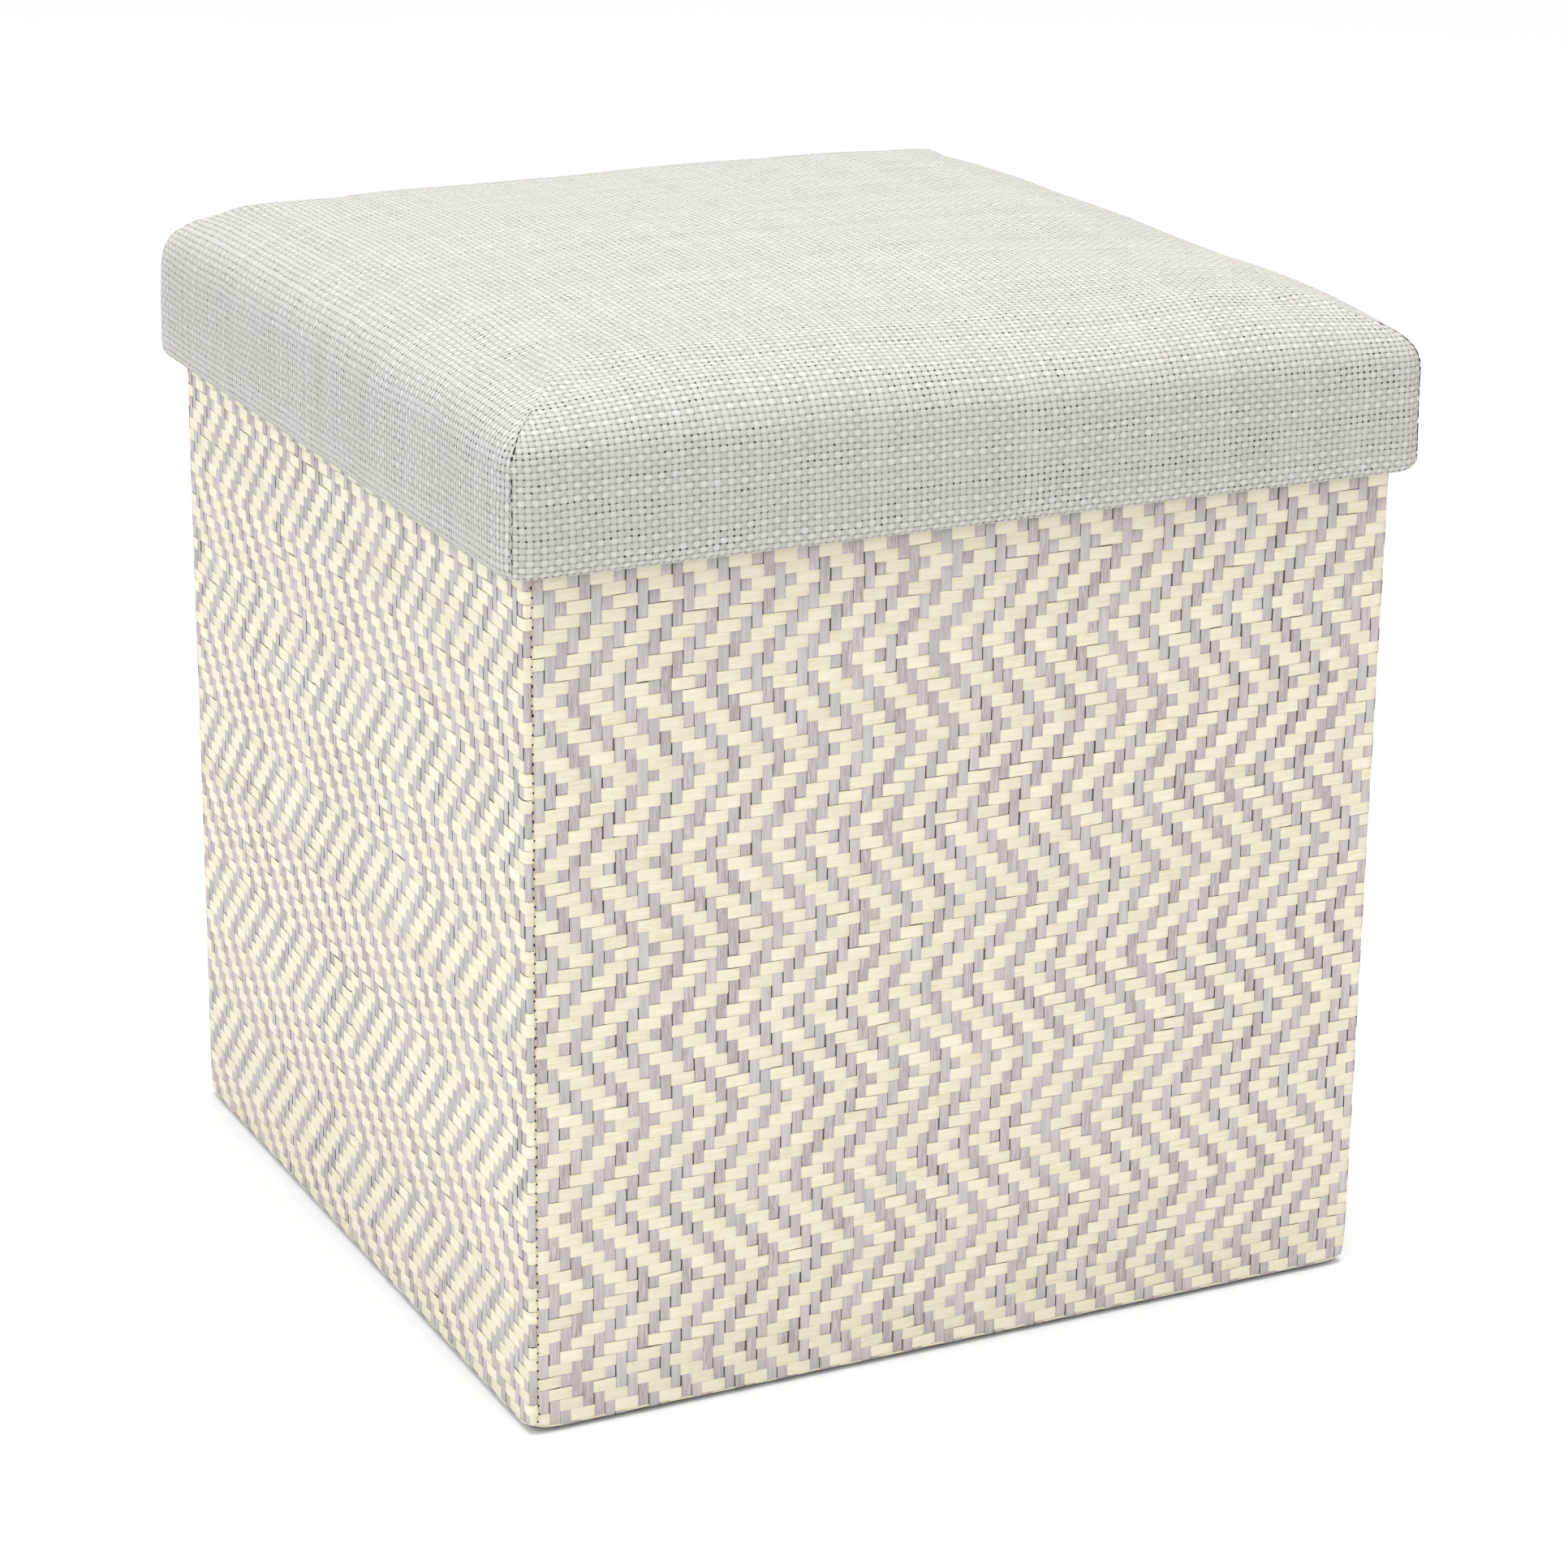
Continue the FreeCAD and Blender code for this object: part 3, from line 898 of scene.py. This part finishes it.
for number, (wall, (face, body)) in enumerate(WALLS.items()):
    heights = [v.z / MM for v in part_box(f"{wall}_lining")]
    panel = cloth_panel(face, *reach_along(face, f"{wall}_lining"), heights, INNER, 40 + number)
    sheet = patches_object(f"{wall}_lining_cloth", [panel])
    dress(thicken(sheet, 0.5), LINING, "lining", body, f"{wall}_lining")
    folded = binding_panel(face, *reach_along(face, f"{wall}_top_binding"))
    tape = patches_object(f"{wall}_top_binding_tape", [folded])
    dress(thicken(tape, 0.25), BINDING, "binding", body, f"{wall}_top_binding")


def plate(name, half, z0, z1, corner=1.0, ripple=0.0):
    """A thin closed square plate with eased edges, its corners rounded in plan, rippled on top."""
    t = np.linspace(-1, 1, 70)
    u = np.sign(t) * (1 - (1 - np.abs(t)) ** 2)
    x, y = np.meshgrid(u * half, u * half, indexing="ij")
    cx = np.maximum(np.abs(x) - (half - corner), 0)
    cy = np.maximum(np.abs(y) - (half - corner), 0)
    reach = np.hypot(cx, cy)
    square = np.maximum(cx, cy)
    pull = np.where(reach > 1e-9, square / np.maximum(reach, 1e-9), 1)
    x = np.sign(x) * (np.abs(x) - cx + cx * pull)
    y = np.sign(y) * (np.abs(y) - cy + cy * pull)
    ease = 0.8
    outermost = np.maximum(np.abs(u)[:, None], np.abs(u)[None, :]) * half
    edge = np.clip((outermost - half + ease) / ease, 0, 1)
    swell_out = (z1 - z0) / 2 * np.sqrt(np.maximum(1 - edge ** 2, 0))
    wave = ripple * smooth_field(71, 38.0, 38.0)(x, y) * (1 - edge)
    top = np.stack([x, y, (z0 + z1) / 2 + swell_out + wave - ripple], -1)
    under = np.stack([x, y, (z0 + z1) / 2 - swell_out], -1)
    return patches_object(name, [top, under[:, ::-1]])


# The bottom panel is drawn thinner and narrower than the CAD, inside the hem that hangs below the walls.
BASE_EDGE = BOTTOM_HALF - 4.0
BASE_CORNER = 9.0
BASE_CLOTH, BASE_BOARD, BASE_TOP = 0.3, 0.9, 1.2     # heights of its layers


def plate_edge(half, corner, z0, z1):
    """The cloth turned up round the edge of the bottom board."""
    flat, _ = ring_points(half, corner)
    flat = np.concatenate([flat, flat[:1]])[:, None]
    x, y, z = np.broadcast_arrays(flat[..., 0], flat[..., 1], np.linspace(z0, z1, 5)[None, :])
    return np.stack([x, y, z], -1)


def make_bottom():
    board = plate("bottom_inner_board", BASE_EDGE - 0.8, BASE_CLOTH, BASE_BOARD, BASE_CORNER)
    dress(board, BOARD, "board", "back_wall", "bottom_board")
    lining = plate("bottom_lining_cloth", BASE_EDGE - 0.6, BASE_BOARD, BASE_TOP, BASE_CORNER, 0.05)
    dress(lining, LINING, "lining", "back_wall", "bottom_lining")
    outer = plate("bottom_outer_cloth", BASE_EDGE, 0.0, BASE_CLOTH, BASE_CORNER)
    dress(outer, BOTTOM, "bottom_cloth", "back_wall", "bottom_cloth")
    edge = plate_edge(BASE_EDGE, BASE_CORNER, 0.1, BASE_TOP - 0.1)
    turned_up = patches_object("bottom_cloth_edge", [edge])
    dress(thicken(turned_up, 0.3), BOTTOM, "bottom_cloth", "back_wall", "bottom_cloth")


def make_lid_boards():
    """The board under the seat, and the skirt's four boards as one ring with rounded corners."""
    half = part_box("lid_board")[1].x / MM - 0.8
    dress(plate("lid_top_board", half, TRAY_TOP, TRAY_TOP + 5.0, 8.0), BOARD, "board", "lid", "lid_board")
    low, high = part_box("lid_skirt_board_front")
    z0, z1 = low.z / MM + 1.2, high.z / MM - 0.2
    outer, inner = (SKIRT_OUTER - 0.2, 6.0), (TRAY_OUTER + 0.2, 3.0)
    section = (*outer, z0), (*outer, z1), (*inner, z1), (*inner, z0), (*outer, z0)
    rounds = []
    for half, corner, z in section:
        rounds.append(np.concatenate([ring_points(half, corner)[0], np.full((4 * PER_SIDE, 1), z)], 1))
    ring = np.stack(rounds, 1)
    boards = patches_object("lid_skirt_boards", [np.concatenate([ring, ring[:1]])])
    nodes = [f"lid_skirt_board_{side}" for side in ("front", "back", "left", "right")]
    dress(boards, BOARD, "board", "lid", *nodes)
    boards.data.shade_flat()


def make_lid_lining():
    half = TRAY_OUTER - 0.55
    ceiling = plate("lid_ceiling_lining", half, TRAY_TOP - 0.65, TRAY_TOP - 0.05, 1.0, 0.1)
    dress(ceiling, LINING, "lining", "lid", "lid_lining")
    heights = RIM + 1.3, TRAY_TOP - 0.3
    skirts = [cloth_panel(face, -half, half, heights, half, 80 + 3 * face, 0.15) for face in range(4)]
    dress(thicken(patches_object("lid_skirt_lining", skirts), 0.4), LINING, "lining", "lid", "lid_lining")


make_bottom()
make_lid_boards()
make_lid_lining()


def stretch_of(line, far, start, length):
    """The two ends of a stretch of a line of points, far being how far along it each point is."""
    return np.array([np.interp((start, start + length), far, line[:, axis]) for axis in range(3)]).T


def lid_seams():
    """Sewn mitres at the four corners of the lid: stitches of thread, and the slits they have pulled open."""
    smoothed = cover.evaluated_get(bpy.context.evaluated_depsgraph_get())
    shape = coordinates(smoothed.to_mesh())
    starts, ends, outs, holes = [], [], [], []
    luck = np.random.default_rng(91)
    first = (PER_SIDE + 1) ** 2
    rings = len(lid_rings())
    pitch, stitch = 4.4, 3.0
    for side in range(4):
        line = shape[[first + (ring * 4 + side) * PER_SIDE for ring in range(4, rings - 4)]]
        far = np.r_[0, np.cumsum(np.linalg.norm(np.diff(line, axis=0), axis=1))]
        outward = np.append(np.sign(line[-1, :2]), 0.35) / math.sqrt(2.1225)
        sideways = np.array([-outward[1], outward[0], 0])
        for place in np.arange(2.0, far[-1] - 4.0, pitch):
            ends_at = stretch_of(line, far, place, stitch)
            shift = luck.normal(0, 0.12) * sideways
            starts.append(ends_at[0] + shift + outward * 0.15)
            ends.append(ends_at[1] + shift + outward * 0.15)
            outs.append(outward)
        place = 0.5
        while place < far[-1] - 5.0:
            length = luck.uniform(1.4, 4.2)
            slit = stretch_of(line, far, place, length)
            slit = slit + luck.normal(0, 0.2, (2, 1)) * sideways + outward * 0.12
            widest = 0.16 * math.exp(-((place - 22) / 6) ** 2)
            holes.append((slit[0], slit[1], outward, luck.uniform(0.20, 0.34) + widest))
            place += length + luck.exponential(0.9) + 2.0 * math.exp(-place / 12)
    starts, ends, outs = (np.array(part) for part in (starts, ends, outs))
    thread = stitches_object("lid_corner_thread", starts, ends, outs, 0.22, 0.12)
    dress(thread, LID_THREAD, "thread", "lid", "lid_corner_seams")
    first_end, second_end, out, wide = (np.array(part) for part in zip(*holes))
    # painted shade: the pulled slits are dark tubes standing for the dark inside them
    marks = stitches_object("lid_corner_needle_holes", first_end, second_end, out, wide[:, None], 0.02)
    dress(marks, HOLE, "thread", "lid")


lid_seams()


# ------------------------------------------------------------------ camera, light, floor
CAMERA_AZIMUTH = math.radians(-26.47)
CAMERA_ELEVATION = math.radians(19.07)
CAMERA_ROLL = math.radians(0.68)
CAMERA_DISTANCE = 1.9
CAMERA_LENS = 100.08
CAMERA_TARGET = Vector((0.0128, 0.0004, 0.1829))
WORLD_STRENGTH = 1.03
FLOOR_REACH = 8.0


def make_camera():
    """The camera at the photograph's viewing angle."""
    data = bpy.data.cameras.new("camera")
    data.lens = CAMERA_LENS
    data.sensor_width = 36.0
    camera = new_object("camera", data)
    level = math.cos(CAMERA_ELEVATION)
    sideways, forward = math.sin(CAMERA_AZIMUTH) * level, math.cos(CAMERA_AZIMUTH) * level
    back = Vector((sideways, -forward, math.sin(CAMERA_ELEVATION)))
    camera.location = CAMERA_TARGET + back * CAMERA_DISTANCE
    camera.rotation_euler = (-back).to_track_quat("-Z", "Y").to_euler()
    camera.rotation_euler.rotate_axis("Z", CAMERA_ROLL)
    bpy.context.scene.camera = camera


def area_light(name, place, aim, size, power, colour):
    """A square softbox, size in metres and power in watts."""
    data = bpy.data.lights.new(name, "AREA")
    data.size = size
    data.energy = power
    data.color = colour
    lamp = new_object(name, data)
    lamp.location = place
    lamp.rotation_euler = (Vector(aim) - Vector(place)).to_track_quat("-Z", "Y").to_euler()


def make_studio():
    """A pale floor under soft light from all round, a little stronger from the left and above."""
    mesh = bpy.data.meshes.new("floor")
    corners = [(x * FLOOR_REACH, y * FLOOR_REACH, 0) for x, y in ((-1, -1), (1, -1), (1, 1), (-1, 1))]
    mesh.from_pydata(corners, [], [(0, 1, 2, 3)])
    floor = new_object("floor", mesh)
    g = Graph("floor")
    where = g.add("ShaderNodeTexCoord").outputs["Object"]
    shade = g.mix(g.noise(where, 3.0, 2.0), srgb(242, 242, 242), srgb(239, 239, 239))
    mesh.materials.append(g.finish(shade, 0.9, None, 0.1))
    world = bpy.data.worlds.new("studio")
    bpy.context.scene.world = world
    world.use_nodes = True
    background = world.node_tree.nodes["Background"]
    background.inputs[0].default_value = (1, 1, 1, 1)
    background.inputs[1].default_value = WORLD_STRENGTH
    area_light("left_softbox", (-2.4, -0.9, 1.5), (0, 0, 0.2), 1.8, 18.5, (0.83, 0.95, 1.0))
    area_light("top_softbox", (0.0, -0.15, 2.6), (0, 0, 0.3), 1.4, 42, (0.94, 0.97, 1.0))


make_camera()
make_studio()
bpy.context.scene.view_settings.view_transform = "Standard"
